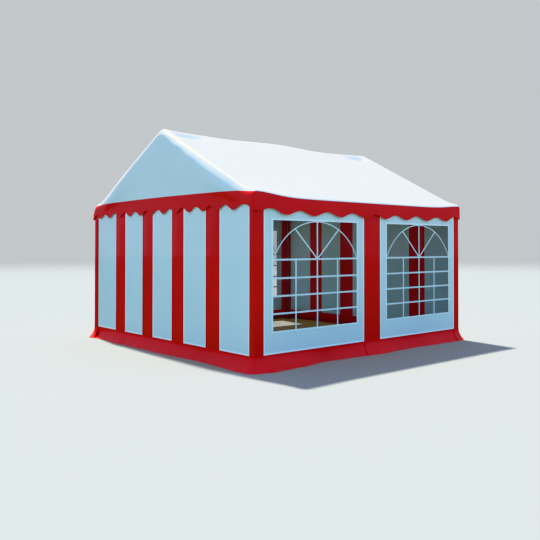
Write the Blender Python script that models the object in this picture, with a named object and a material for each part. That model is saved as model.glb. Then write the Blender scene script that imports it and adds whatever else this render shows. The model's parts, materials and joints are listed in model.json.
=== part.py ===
"""A four by four metre frame tent with a PVC cover, windows in both long walls and striped gable walls.

The ridge runs along X. The front wall faces -Y, and the left gable faces -X.
The origin is on the ground, at the middle of the tent. Lengths are in metres.
"""

import math

import bmesh
import bpy
import numpy as np
from mathutils import Matrix, Vector

# Driving dimensions of the whole tent.
HALF = 2.0  # from the middle to the valance, along X and along Y
EAVE = 1.986  # top of the roof cloth over the eave, away from the corners
RIDGE = 2.99  # top of the roof cloth at the middle truss
CLOTH = 0.002  # thickness of every cloth
GAP = 0.0003  # between pieces that touch

# The steel frame: tubes that push into fittings.
TUBE_R = 0.019
SLEEVE_R = 0.0215
SLEEVE = 0.11  # from a joint's centre to the mouth of each sleeve
BITE = 0.005  # how far welded tubes run into each other past their centres
SLIMMER = 0.0004  # each further sleeve of a fitting is this much slimmer
SLEEVE_ROLL = 0.07
SIDES = 16
SHARP = math.radians(40)  # faces that meet at more than this keep a crisp edge
PLATE = 0.12
PLATE_T = 0.005

# The walls hang just inside the valance.
WALL = 1.985  # outer face of the walls
PANEL_BOTTOM = 0.163
WALL_TOP = 1.972
HEADER_BOTTOM = 1.93  # below it the red and the white cloths are separate strips
FLARE = 0.085  # how far the skirt stands out at the ground
FLARE_POWER = 1.7
SKIRT_ROWS = 6

# The roof's own shape.
SAG = 0.018  # of the cloth at the ridge, halfway between two trusses
GABLE_LIFT = 0.010
LIFT_REACH = 0.12
CORNER_LIFT = 0.055
CORNER_REACH_X = 0.30
CORNER_REACH_Y = 0.17
GABLE_LEAN = 0.012  # how far the gable cloth leans in, from eave to ridge
GABLE_CLOTH_TIP = 0.006  # height of the gable cloth where its two lower corners are cut off
GABLE_CLOTH_COLUMNS = 17
ROOF_ROWS = (1.0, 0.97, 0.94, 0.90, 0.85, 0.78, 0.65, 0.5, 0.35, 0.2, 0.08)  # shares of HALF, eave first
ROLL_STEPS = 4  # of the quarter turn over a gable rafter
ROOF_SPANS = 12  # between the two rolled edges
RIDGE_DROP = 0.031  # the ridge tube's axis hangs this far under the rafters' meeting point

# The valance, one scalloped strip on each side.
SCALLOP = 0.028  # half the height of its waves
FRONT_MIDDLE = 1.808  # mean height of its lower edge
FRONT_LOWS = 10  # low points of the long side's wave, the first and last at the corners
GABLE_MIDDLE = 1.874
GABLE_LOWS = 13
CORNER_HEM_LIFT = 0.035  # of the lower edge at a corner
WAVE_STEPS = 8  # columns to each wave
GABLE_VALANCE_TOP = 2.05
GABLE_VALANCE_RISE = 0.024

# The windows, two in each long wall.
BAY = 1.0  # from the middle to each window's centre line
PANEL_HALF = 0.847
WINDOW_HALF = 0.703
SILL = 0.435
LINTEL = 1.719
OVERLAP = 0.015  # of the film behind its panel
FILM = 0.001

# The striped gable walls: the edges between red and white, from the middle out.
STRIPE_EDGES = (0.246, 0.532, 1.033, 1.326, 1.918)

# Where the frame's axes lie, so that the sleeves just clear the cloth.
SLOPE = (RIDGE - EAVE) / HALF
TILT = math.atan(SLOPE)
POST = WALL - CLOTH - GAP - SLEEVE_R
CLOTH_DROP = CLOTH / math.cos(TILT)
UNDER = CLOTH_DROP + (GAP + SLEEVE_R) / math.cos(TILT)
RAIL_Z = EAVE - UNDER + (HALF - POST) * SLOPE
APEX_Z = RAIL_Z + POST * SLOPE
RIDGE_TUBE_Z = APEX_Z - RIDGE_DROP

RED = (0.33, 0.012, 0.022, 1.0)
WHITE = (0.80, 0.83, 0.86, 1.0)
STEEL = (0.55, 0.56, 0.58, 1.0)
CLEAR = (0.80, 0.86, 0.88, 1.0)


def clear_scene():
    """Remove every object of the open file."""
    for item in list(bpy.data.objects):
        bpy.data.objects.remove(item, do_unlink=True)


def material(name, color, roughness, metallic=0.0):
    """A Principled material of one colour."""
    made = bpy.data.materials.new(name)
    made.use_nodes = True
    shader = made.node_tree.nodes["Principled BSDF"]
    shader.inputs["Base Color"].default_value = color
    shader.inputs["Roughness"].default_value = roughness
    shader.inputs["Metallic"].default_value = metallic
    return made


def add_object(name, points, faces, finish):
    """A mesh object whose faces all point outwards."""
    mesh = bpy.data.meshes.new(name)
    mesh.from_pydata([tuple(map(float, p)) for p in points], [], [tuple(map(int, f)) for f in faces])
    work = bmesh.new()
    work.from_mesh(mesh)
    bmesh.ops.recalc_face_normals(work, faces=work.faces)
    work.to_mesh(mesh)
    work.free()
    made = bpy.data.objects.new(name, mesh)
    bpy.context.scene.collection.objects.link(made)
    made.data.materials.append(finish)
    return made


def thick_sheet(name, points, faces, offset, finish):
    """A closed sheet: a surface, the same surface moved by offset, and rims along its open edges."""
    points = np.asarray(points, float)
    count = len(points)
    uses = {}
    for face in faces:
        for a, b in zip(face, face[1:] + face[:1]):
            uses.setdefault(frozenset((a, b)), []).append((a, b))
    rims = [(b, a, a + count, b + count) for (a, b), *more in uses.values() if not more]
    back = [tuple(i + count for i in reversed(face)) for face in faces]
    both = np.concatenate([points, points + offset])
    return add_object(name, both, list(faces) + back + rims, finish)


def grid_faces(rows, columns, keep=None):
    """Quads over a grid of points, all of them or only the cells that keep says."""
    quads = []
    for row in range(rows - 1):
        for column in range(columns - 1):
            if keep is None or keep(row, column):
                a = row * columns + column
                quads.append((a, a + 1, a + columns + 1, a + columns))
    return quads


def used_only(points, faces):
    """Leave out the points that no face uses."""
    used = sorted({i for face in faces for i in face})
    place = {old: new for new, old in enumerate(used)}
    return np.asarray(points)[used], [tuple(place[i] for i in face) for face in faces]


# Roof


def roof_height(x, y):
    """Outer height of the roof cloth: two straight slopes, less a sag between the trusses, plus a
    lift along the gable rafters and a bump over each corner fitting."""
    x, y = np.abs(x), np.abs(y)
    up = 1.0 - y / HALF
    slopes = EAVE + (RIDGE - EAVE) * up
    sag = SAG * up * np.sin(np.pi * np.clip(x / POST, 0, 1)) ** 2
    lift = GABLE_LIFT * np.exp(-(((HALF - x) / LIFT_REACH) ** 2)) * up
    corner = np.exp(-(((HALF - x) / CORNER_REACH_X) ** 2) - ((HALF - y) / CORNER_REACH_Y) ** 2)
    return slopes - sag + lift + CORNER_LIFT * corner


def gable_face(y):
    """How far out the gable's edge of the roof is."""
    return HALF - GABLE_LEAN * (1.0 - np.abs(y) / HALF)


def roof_profile():
    """The roof's columns, as shares of the way from the middle to a gable truss, each with the angle
    by which the cloth has turned down there."""
    flat = [(-1.0 + 2.0 * i / ROOF_SPANS, 0.0) for i in range(1, ROOF_SPANS)]
    arc = [math.pi / 2 * (1 - i / ROLL_STEPS) for i in range(ROLL_STEPS + 1)]
    return [(-1.0, -a) for a in arc] + flat + [(1.0, a) for a in reversed(arc)]


def roof_point(along, turn, y):
    """A point of the roof's outer surface, which rolls down over the gable rafters in a quarter turn."""
    radius = gable_face(y) - POST
    x = along * POST + radius * math.sin(turn)
    return (x, y, roof_height(along * POST, y) - radius * (1 - math.cos(turn)))


def roof_slope(name, side, finish):
    """One slope of the roof, from eave to ridge, with both its gable edges rolled down."""
    columns = roof_profile()
    rows = [side * HALF * share for share in ROOF_ROWS] + [side * GAP / 2]
    points = [roof_point(along, turn, y) for y in rows for along, turn in columns]
    shift = [(-CLOTH * math.sin(turn), 0.0, -CLOTH_DROP * math.cos(turn)) for _, turn in columns]
    faces = grid_faces(len(rows), len(columns))
    return thick_sheet(name, points, faces, np.tile(shift, (len(rows), 1)), finish)


def eave_line():
    """The underside of the roof's lower edge, as its places along X and its heights there."""
    columns = roof_profile()
    outer = np.array([roof_point(along, turn, HALF) for along, turn in columns])
    turns = np.array([turn for _, turn in columns])
    return outer[:, 0] - CLOTH * np.sin(turns), outer[:, 2] - CLOTH_DROP * np.cos(turns)


def roll_line():
    """The end of the roof's rolled edge, as its places along Y and its heights there."""
    shares = list(ROOF_ROWS) + [GAP / 2 / HALF]
    places = [-share * HALF for share in shares] + [share * HALF for share in reversed(shares)]
    heights = [float(roof_height(POST, y) - (gable_face(y) - POST)) for y in places]
    return np.array(places), np.array(heights)


def gable_valance_top(y):
    """Top of the gable's valance: a low arch, cut off by the rolled corner of the roof."""
    arch = GABLE_VALANCE_TOP + GABLE_VALANCE_RISE * (1 - (y / HALF) ** 2)
    return np.minimum(arch, np.interp(y, *roll_line()) - GAP)


def gable_cloth(name, side, finish):
    """The three-cornered cloth between the valance and the rolled edge of the roof."""
    places, heights = roll_line()
    gaps = heights - gable_valance_top(places) - 2 * GAP
    rising = len(places) // 2
    reach = -np.interp(GABLE_CLOTH_TIP, gaps[:rising], places[:rising])
    columns = np.linspace(-reach, reach, GABLE_CLOTH_COLUMNS)
    columns = np.unique(np.concatenate([columns, places[np.abs(places) < reach]]))
    low = gable_valance_top(columns) + GAP
    high = np.interp(columns, places, heights) - GAP
    points = []
    for row in np.linspace(0, 1, 3):
        lean = GABLE_LEAN * (1 - np.abs(columns) / HALF) * row
        points += list(zip(side * (HALF - lean), columns, low + (high - low) * row))
    return thick_sheet(name, points, grid_faces(3, len(columns)), (-side * CLOTH, 0, 0), finish)


# Valance


def hem_wave(along, middle, lows):
    """A valance's lower edge: a cosine wave with a low point at each corner, lifted a little there."""
    pitch = 2 * HALF / (lows - 1)
    wave = middle - SCALLOP * np.cos(2 * np.pi * (along + HALF) / pitch)
    return wave + CORNER_HEM_LIFT * np.exp(-(((HALF - np.abs(along)) / CORNER_REACH_X) ** 2))


def valance(name, axis, side, columns, middle, lows, top, finish):
    """A strip that hangs from the roof's edge, between its lower wave and its top line."""
    edges = (hem_wave(columns, middle, lows), top)
    points = [wall_point(axis, side, u, z, HALF) for edge in edges for u, z in zip(columns, edge)]
    offset = wall_point(axis, -side, 0.0, 0.0, CLOTH)
    return thick_sheet(name, points, grid_faces(2, len(columns)), offset, finish)


def wave_columns(reach, lows, breaks):
    """Columns of a valance from -reach to reach, with the places where its top line bends."""
    even = np.linspace(-reach, reach, (lows - 1) * WAVE_STEPS + 1)
    return np.unique(np.concatenate([even, breaks[np.abs(breaks) < reach]]))


def front_valance(name, side, finish):
    """The long side's valance, between the gables' valances, up to the roof's lower edge."""
    places, heights = eave_line()
    columns = wave_columns(HALF - CLOTH - GAP, FRONT_LOWS, places)
    top = np.interp(columns, places, heights) - GAP
    return valance(name, 1, side, columns, FRONT_MIDDLE, FRONT_LOWS, top, finish)


def gable_valance(name, side, finish):
    """The gable's valance, with shorter waves than the long side's."""
    columns = wave_columns(HALF, GABLE_LOWS, roll_line()[0])
    return valance(name, 0, side, columns, GABLE_MIDDLE, GABLE_LOWS, gable_valance_top(columns), finish)


# Walls


def skirt_out(z):
    """How far the skirt stands out from the wall at a height: nothing at its top, most at the ground."""
    return FLARE * (1.0 - np.clip(z / PANEL_BOTTOM, 0, 1)) ** FLARE_POWER


def wall_point(axis, side, along, z, face):
    """A point of a wall. Axis 1 is a long wall, across Y, and axis 0 a gable wall, across X."""
    across = side * face
    return (along, across, z) if axis == 1 else (across, along, z)


def red_wall(name, axis, side, edges, finish):
    """The red cloth of a wall in one piece: the flared skirt and the upright bands between the panels.
    edges are the bands' edges along the wall, from one corner to the other."""
    heights = list(np.linspace(0, PANEL_BOTTOM, SKIRT_ROWS)) + [HEADER_BOTTOM - GAP]
    if axis == 1:
        heights.append(WALL_TOP)
    outer = []
    inner = []
    for row, z in enumerate(heights):
        out = float(skirt_out(z))
        in_band = row >= SKIRT_ROWS - 1
        corner = WALL + out - (CLOTH + GAP if in_band and axis == 0 else GAP / 2)
        for edge in edges:
            at_corner = abs(edge) == HALF
            along = math.copysign(corner, edge) if at_corner else edge
            pull = math.copysign(CLOTH, edge) if at_corner else 0.0
            outer.append(wall_point(axis, side, along, z, WALL + out))
            inner.append(wall_point(axis, side, along - pull, z, WALL + out - CLOTH))
    is_cloth = lambda row, column: row < SKIRT_ROWS - 1 or column % 2 == 0
    faces = grid_faces(len(heights), len(edges), is_cloth)
    front, kept = used_only(outer, faces)
    rear = used_only(inner, faces)[0]
    return thick_sheet(name, front, kept, rear - front, finish)


def clear_edges(edges, gap):
    """Pull each band's edges in, so that the panels beside it have room."""
    pulled = list(edges)
    for i in range(1, len(edges) - 1):
        pulled[i] += -gap / 2 if i % 2 else gap / 2
    return pulled


def gable_white(name, side, finish):
    """The white strips of a gable wall, which hang from one header behind the valance."""
    edges = sorted([-e for e in STRIPE_EDGES] + list(STRIPE_EDGES))
    corner = WALL - CLOTH - GAP
    inner_edges = [edge + (-GAP / 2 if i % 2 else GAP / 2) for i, edge in enumerate(edges)]
    pulled = [-corner] + inner_edges + [corner]
    heights = [PANEL_BOTTOM + GAP, HEADER_BOTTOM, WALL_TOP]
    points = [wall_point(0, side, y, z, WALL) for z in heights for y in pulled]
    columns = len(pulled)
    faces = grid_faces(3, columns, lambda row, column: row == 1 or column % 2 == 1)
    points, faces = used_only(points, faces)
    return thick_sheet(name, points, faces, (-side * CLOTH, 0, 0), finish)


def rectangle(half, low, high):
    """The corners of an upright rectangle, as places along the wall from its middle and heights."""
    return [(-half, low), (half, low), (half, high), (-half, high)]


def window_panel(name, side, center, finish):
    """The white panel around a window, with the window cut through it."""
    rim = rectangle(PANEL_HALF - GAP / 2, PANEL_BOTTOM + GAP, WALL_TOP)
    hole = rectangle(WINDOW_HALF, SILL, LINTEL)
    points = [(center + u, side * WALL, v) for u, v in rim + hole]
    faces = [(i, (i + 1) % 4, 4 + (i + 1) % 4, 4 + i) for i in range(4)]
    return thick_sheet(name, points, faces, (0, -side * CLOTH, 0), finish)


def window_film(name, side, center, finish):
    """The clear film, welded on behind the panel with an overlap all round."""
    face = WALL - CLOTH - GAP
    outline = rectangle(WINDOW_HALF + OVERLAP, SILL - OVERLAP, LINTEL + OVERLAP)
    points = [(center + u, side * face, v) for u, v in outline]
    return thick_sheet(name, points, [(0, 1, 2, 3)], (0, -side * FILM, 0), finish)


# Frame


def tube_object(name, start, end, radius, finish, roll=0.0):
    """A round tube from one point to another, as a closed body with flat ends."""
    start, end = Vector(start), Vector(end)
    work = bmesh.new()
    bmesh.ops.create_cone(
        work, cap_ends=True, segments=SIDES, radius1=radius, radius2=radius, depth=(end - start).length
    )
    bmesh.ops.rotate(work, matrix=Matrix.Rotation(roll, 3, "Z"), verts=work.verts)
    turn = (end - start).to_track_quat("Z", "Y").to_matrix().to_4x4()
    turn.translation = (start + end) / 2
    bmesh.ops.transform(work, matrix=turn, verts=work.verts)
    mesh = bpy.data.meshes.new(name)
    work.to_mesh(mesh)
    work.free()
    made = bpy.data.objects.new(name, mesh)
    bpy.context.scene.collection.objects.link(made)
    mesh.materials.append(finish)
    mesh.shade_smooth()
    mesh.set_sharp_from_angle(angle=SHARP)
    return made


def sleeve_object(order, start, end, finish):
    """A fitting's sleeve. Each is slimmer and turned a little more than the one before it, so that
    no two sleeves of a fitting share a face or an edge."""
    return tube_object("sleeve", start, end, SLEEVE_R - order * SLIMMER, finish, order * SLEEVE_ROLL)


def plate_object(name, center, size, height, finish):
    """A square foot plate that lies on the ground."""
    x, y = center
    corners = [(x + a * size / 2, y + b * size / 2) for a, b in ((-1, -1), (1, -1), (1, 1), (-1, 1))]
    points = [(u, v, 0.0) for u, v in corners]
    return thick_sheet(name, points, [(0, 1, 2, 3)], (0, 0, height), finish)


def weld(name, pieces):
    """Join pieces that overlap into one closed body, with the first one's name and material."""
    base = pieces[0]
    base.name = name
    base.data.name = name
    for piece in pieces[1:]:
        union = base.modifiers.new("weld", "BOOLEAN")
        union.operation = "UNION"
        union.solver = "EXACT"
        union.object = piece
        bpy.context.view_layer.update()
        graph = bpy.context.evaluated_depsgraph_get()
        joined = bpy.data.meshes.new_from_object(base.evaluated_get(graph))
        base.modifiers.remove(union)
        base.data = joined
        bpy.data.objects.remove(piece, do_unlink=True)
    return base


def leg(name, x, y, finish):
    """An upright leg with its foot plate and its head, whose sleeves take the rails and the rafter."""
    inward = -math.copysign(1.0, y)
    pieces = [tube_object("tube", (x, y, PLATE_T / 2), (x, y, RAIL_Z - SLEEVE), TUBE_R, finish)]
    pieces.append(plate_object("plate", (x, y), PLATE, PLATE_T, finish))
    pieces.append(sleeve_object(0, (x, y, RAIL_Z - SLEEVE - BITE), (x, y, RAIL_Z + BITE), finish))
    across, up = inward * math.cos(TILT), math.sin(TILT)
    start = (x, y - BITE * across, RAIL_Z - BITE * up)
    end = (x, y + SLEEVE * across, RAIL_Z + SLEEVE * up)
    pieces.append(sleeve_object(1, start, end, finish))
    if x == 0.0:
        pieces.append(sleeve_object(2, (-SLEEVE, y, RAIL_Z), (SLEEVE, y, RAIL_Z), finish))
    else:
        start = (x + math.copysign(BITE, x), y, RAIL_Z)
        end = (x - math.copysign(SLEEVE, x), y, RAIL_Z)
        pieces.append(sleeve_object(2, start, end, finish))
        low = RAIL_Z - 2 * SLEEVE_R
        start = (x, y - inward * BITE, low)
        pieces.append(sleeve_object(3, start, (x, y + inward * SLEEVE, low), finish))
    return weld(name, pieces)


def ridge_fitting(name, x, finish):
    """The fitting at the top of a truss: two rafter sleeves, and sleeves for the ridge tubes under them."""
    pieces = []
    for order, way in enumerate((-1, 1)):
        across, down = way * math.cos(TILT), -math.sin(TILT)
        start = (x, -BITE * across, APEX_Z - BITE * down)
        end = (x, SLEEVE * across, APEX_Z + SLEEVE * down)
        pieces.append(sleeve_object(order, start, end, finish))
    first = x - (SLEEVE if x > -POST else BITE)
    last = x + (SLEEVE if x < POST else BITE)
    pieces.append(sleeve_object(2, (first, 0, RIDGE_TUBE_Z), (last, 0, RIDGE_TUBE_Z), finish))
    return weld(name, pieces)


def rafter(name, x, way, finish):
    """A rafter between the sleeve of a leg's head and the sleeve of the ridge fitting."""
    reach = SLEEVE + GAP
    low = (x, way * (POST - reach * math.cos(TILT)), RAIL_Z + reach * math.sin(TILT))
    high = (x, way * reach * math.cos(TILT), APEX_Z - reach * math.sin(TILT))
    return tube_object(name, low, high, TUBE_R, finish)


def build_frame(steel):
    """The steel frame: three trusses, tied by eave, gable and ridge tubes."""
    reach = SLEEVE + GAP
    trusses = (("left", -POST), ("middle", 0.0), ("right", POST))
    sides = (("front", -1), ("back", 1))
    for place, x in trusses:
        for word, way in sides:
            leg(f"{word}_{place}_leg", x, way * POST, steel)
            rafter(f"{word}_{place}_rafter", x, way, steel)
        ridge_fitting(f"{place}_ridge_fitting", x, steel)
    for place, way in (("left", -1), ("right", 1)):
        first, last = sorted((way * reach, way * (POST - reach)))
        for word, side in sides:
            start = (first, side * POST, RAIL_Z)
            tube_object(f"{word}_{place}_eave_rail", start, (last, side * POST, RAIL_Z), TUBE_R, steel)
        start = (first, 0, RIDGE_TUBE_Z)
        tube_object(f"{place}_ridge_tube", start, (last, 0, RIDGE_TUBE_Z), TUBE_R, steel)
        low = RAIL_Z - 2 * SLEEVE_R
        span = POST - reach
        tube_object(f"{place}_gable_rail", (way * POST, -span, low), (way * POST, span, low), TUBE_R, steel)


def build_cover(red, white, clear):
    """The PVC cover: roof, gable cloths, valances, walls and windows."""
    long_edges = (-HALF, -BAY - PANEL_HALF, -BAY + PANEL_HALF, BAY - PANEL_HALF, BAY + PANEL_HALF, HALF)
    gable_edges = [-HALF] + sorted([-e for e in STRIPE_EDGES] + list(STRIPE_EDGES)) + [HALF]
    for word, side in (("front", -1), ("back", 1)):
        roof_slope(f"{word}_roof_slope", side, white)
        front_valance(f"{word}_valance", side, red)
        red_wall(f"{word}_wall_red", 1, side, clear_edges(long_edges, GAP), red)
        for place, way in (("left", -1), ("right", 1)):
            window_panel(f"{word}_{place}_window_panel", side, way * BAY, white)
            window_film(f"{word}_{place}_window_film", side, way * BAY, clear)
    for word, side in (("left", -1), ("right", 1)):
        gable_cloth(f"{word}_gable_cloth", side, white)
        gable_valance(f"{word}_valance", side, red)
        red_wall(f"{word}_wall_red", 0, side, clear_edges(gable_edges, GAP), red)
        gable_white(f"{word}_wall_white", side, white)


clear_scene()
build_frame(material("galvanised_steel", STEEL, 0.45, 0.9))
build_cover(
    material("red_pvc", RED, 0.4),
    material("white_pvc", WHITE, 0.4),
    material("clear_film", CLEAR, 0.1),
)
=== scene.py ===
"""A four by four metre frame tent in red and white PVC, dressed over its CAD frame.

The ridge runs along X, the front window wall faces -Y and the left gable faces -X. Metres throughout.
"""
import json
import math

import bpy
import numpy as np
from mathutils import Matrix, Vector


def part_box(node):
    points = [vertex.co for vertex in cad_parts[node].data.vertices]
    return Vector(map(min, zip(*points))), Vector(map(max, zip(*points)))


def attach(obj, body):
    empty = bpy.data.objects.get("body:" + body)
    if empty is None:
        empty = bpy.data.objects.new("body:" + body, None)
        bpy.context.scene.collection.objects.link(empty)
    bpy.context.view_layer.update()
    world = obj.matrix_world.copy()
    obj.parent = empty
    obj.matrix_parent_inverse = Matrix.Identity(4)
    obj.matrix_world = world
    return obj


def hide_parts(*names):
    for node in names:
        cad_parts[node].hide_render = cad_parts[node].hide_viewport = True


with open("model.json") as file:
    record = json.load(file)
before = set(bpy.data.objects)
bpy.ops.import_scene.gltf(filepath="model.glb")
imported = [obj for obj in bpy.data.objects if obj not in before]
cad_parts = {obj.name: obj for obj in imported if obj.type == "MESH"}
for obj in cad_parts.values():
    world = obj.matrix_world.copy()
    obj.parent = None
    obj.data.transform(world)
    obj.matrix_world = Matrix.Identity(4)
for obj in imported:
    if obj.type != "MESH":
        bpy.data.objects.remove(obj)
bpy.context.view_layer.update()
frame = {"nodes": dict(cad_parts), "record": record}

# Camera, stage and light. The tent stands on a plain pale floor that runs out into a plain backdrop.
# A high sun stands behind it, so that both walls in view are in soft cool shade and the roof is bright.
camera = bpy.data.objects.new("camera", bpy.data.cameras.new("camera"))
bpy.context.scene.collection.objects.link(camera)
camera.location = (-6.601, -7.851, 1.413)
camera.rotation_euler = (math.radians(90.756), 0.0, math.radians(-42.27))
camera.data.lens = 44.25
camera.data.shift_x = -0.0575
camera.data.shift_y = -0.0597
camera.data.clip_end = 500.0
bpy.context.scene.camera = camera

bpy.context.scene.view_settings.view_transform = "Khronos PBR Neutral"

FLOOR_RINGS, FLOOR_TURNS = (0.01, 4.0, 12.0, 30.0, 90.0), 97
FADE_START, FADE_END = 14.0, 60.0
BACKDROP = (0.58, 0.61, 0.63, 1.0)
FLOOR_COLOR = (0.20, 0.22, 0.25, 1.0)
FLOOR_GLOW = (0.10, 0.055, 0.0, 1.0)
BOUNCE_COLOR = (0.12, 0.17, 0.12, 1.0)
DARK_GROUND = (0.03, 0.04, 0.035, 1.0)
DOME = (0.50, 0.92, 1.40, 1.0)
GLOSS_DOME = (0.50, 0.27, 0.33, 1.0)
SUN_FROM = (0.072, 0.46, 0.90)
SHARP_ANGLE = math.radians(50)


def grid_quads(rows, columns, keep=None):
    """Corner numbers of the quads between a grid's points, all of them or those that keep marks."""
    corner = np.arange(rows * columns).reshape(rows, columns)
    quads = np.stack([corner[:-1, :-1], corner[:-1, 1:], corner[1:, 1:], corner[1:, :-1]], axis=2)
    return quads[keep] if keep is not None else quads.reshape(-1, 4)


def new_mesh(name, points, quads, uv=None, weld=None):
    """A mesh object from points (n, 3) and quads (m, 4), shaded smooth but for its sharp rims, with uv
    (m, 4, 2) as its UV map and weld (n) as an attribute. Points that no quad uses are left out."""
    used, quads = np.unique(quads, return_inverse=True)
    quads = quads.reshape(-1, 4)
    mesh = bpy.data.meshes.new(name)
    mesh.from_pydata(points[used], [], quads)
    if uv is not None:
        layer = mesh.uv_layers.new(name="cloth")
        layer.data.foreach_set("uv", uv.astype(np.float32).ravel())
    if weld is not None:
        marks = mesh.attributes.new("weld", "FLOAT", "POINT")
        marks.data.foreach_set("value", weld[used].astype(np.float32))
    mesh.shade_smooth()
    mesh.set_sharp_from_angle(angle=SHARP_ANGLE)
    made = bpy.data.objects.new(name, mesh)
    bpy.context.scene.collection.objects.link(made)
    return made


def principled(name):
    """A new material, with its node tree and Principled shader."""
    made = bpy.data.materials.new(name)
    made.use_nodes = True
    return made, made.node_tree, made.node_tree.nodes["Principled BSDF"]


def plain_shader(tree, kind, color):
    """A shader of one kind in one colour."""
    made = tree.nodes.new(f"ShaderNode{kind}")
    made.inputs["Color"].default_value = color
    return made.outputs[0]


def mixed(tree, factor, first, second):
    """Two shaders mixed, with more of the second as a factor rises."""
    mix = tree.nodes.new("ShaderNodeMixShader")
    for value, socket in zip((factor, first, second), mix.inputs):
        tree.links.new(value, socket)
    return mix.outputs[0]


def spread(tree, value, low=0.0, high=1.0, start=0.3, end=0.7):
    """Stretch a value from the range start to end, by default a noise's middle, onto low to high."""
    ranged = tree.nodes.new("ShaderNodeMapRange")
    tree.links.new(value, ranged.inputs["Value"])
    for socket, number in zip(("From Min", "From Max", "To Min", "To Max"), (start, end, low, high)):
        ranged.inputs[socket].default_value = number
    return ranged.outputs["Result"]


def stage_floor():
    """A flat disc under the tent. The camera sees it pale and fading into the backdrop, light bounces
    off it as off dull ground, and gloss sees it dark."""
    radius, angle = np.array(FLOOR_RINGS)[:, None], np.linspace(0, 2 * math.pi, FLOOR_TURNS)
    points = np.stack([radius * np.cos(angle), radius * np.sin(angle), 0 * radius * angle], axis=2)
    floor = new_mesh("floor", points.reshape(-1, 3), grid_quads(len(FLOOR_RINGS), FLOOR_TURNS))
    finish, tree = principled("pale_floor")[:2]
    tree.nodes.clear()
    reach = tree.nodes.new("ShaderNodeVectorMath")
    reach.operation = "LENGTH"
    tree.links.new(tree.nodes.new("ShaderNodeTexCoord").outputs["Object"], reach.inputs[0])
    fade = spread(tree, reach.outputs["Value"], start=FADE_START, end=FADE_END)
    fade.node.interpolation_type = "SMOOTHERSTEP"
    near = tree.nodes.new("ShaderNodeAddShader")
    tree.links.new(plain_shader(tree, "BsdfDiffuse", FLOOR_COLOR), near.inputs[0])
    tree.links.new(plain_shader(tree, "Emission", FLOOR_GLOW), near.inputs[1])
    far = plain_shader(tree, "Emission", BACKDROP)
    seen = mixed(tree, fade, near.outputs[0], far)
    path = tree.nodes.new("ShaderNodeLightPath")
    bounce = plain_shader(tree, "BsdfDiffuse", BOUNCE_COLOR)
    dark = plain_shader(tree, "Emission", DARK_GROUND)
    hidden = mixed(tree, path.outputs["Is Glossy Ray"], bounce, dark)
    both = mixed(tree, path.outputs["Is Camera Ray"], hidden, seen)
    tree.links.new(both, tree.nodes.new("ShaderNodeOutputMaterial").inputs["Surface"])
    floor.data.materials.append(finish)


def dome_light():
    """The world: a cool dome that lights the shade. The camera sees it as the plain backdrop, and gloss
    sees it dimmer and warmer."""
    world = bpy.data.worlds.new("dome")
    bpy.context.scene.world = world
    world.use_nodes = True
    tree = world.node_tree
    path = tree.nodes.new("ShaderNodeLightPath")
    lit = tree.nodes["Background"].outputs[0]
    tree.nodes["Background"].inputs["Color"].default_value = DOME
    for ray, color in (("Is Glossy Ray", GLOSS_DOME), ("Is Camera Ray", BACKDROP)):
        lit = mixed(tree, path.outputs[ray], lit, plain_shader(tree, "Background", color))
    tree.links.new(lit, tree.nodes["World Output"].inputs["Surface"])


def lamp(name, kind, power, color):
    """A new light in the scene."""
    data = bpy.data.lights.new(name, kind)
    data.energy = power
    data.color = color
    made = bpy.data.objects.new(name, data)
    bpy.context.scene.collection.objects.link(made)
    return made


stage_floor()
dome_light()

# A soft sun, and a faint fill low in the tent for the daylight that the cloth lets through.
sun = lamp("sun", "SUN", power=11.2, color=(1.0, 0.93, 0.72))
sun.data.angle = math.radians(2.5)
sun_x, sun_y, sun_z = SUN_FROM
sun.rotation_euler = (math.atan2(math.hypot(sun_x, sun_y), sun_z), 0.0, math.atan2(sun_x, -sun_y))
fill = lamp("inside", "POINT", power=17.0, color=(0.68, 1.0, 0.98))
fill.data.shadow_soft_size = 0.6
fill.location = (0.0, 0.0, 0.75)
fill.visible_camera = False
fill.visible_glossy = False


# The steel frame: galvanised tubes pushed into welded fittings, as the CAD has them. The zinc is dull
# grey with a fine mottle.


def noise(tree, place, scale, detail=3.0):
    """A noise texture read at a place, with its scale per metre."""
    texture = tree.nodes.new("ShaderNodeTexNoise")
    texture.inputs["Scale"].default_value = scale
    texture.inputs["Detail"].default_value = detail
    tree.links.new(place, texture.inputs["Vector"])
    return texture.outputs["Fac"]


def feed(tree, value, socket):
    """Join an output to a socket, or set the socket to a plain value."""
    if hasattr(value, "links"):
        tree.links.new(value, socket)
    else:
        socket.default_value = value


def blend_colors(tree, factor, first, second):
    """A colour between two, as a factor says. The mix node's colours are its sockets 6 and 7."""
    mix = tree.nodes.new("ShaderNodeMix")
    mix.data_type = "RGBA"
    for value, number in ((factor, 0), (first, 6), (second, 7)):
        feed(tree, value, mix.inputs[number])
    return mix.outputs[2]


def bump(tree, height, distance, normal=None):
    """A bump of a given depth in metres, laid over another normal if there is one."""
    made = tree.nodes.new("ShaderNodeBump")
    made.inputs["Distance"].default_value = distance
    tree.links.new(height, made.inputs["Height"])
    if normal is not None:
        tree.links.new(normal, made.inputs["Normal"])
    return made.outputs["Normal"]


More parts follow.
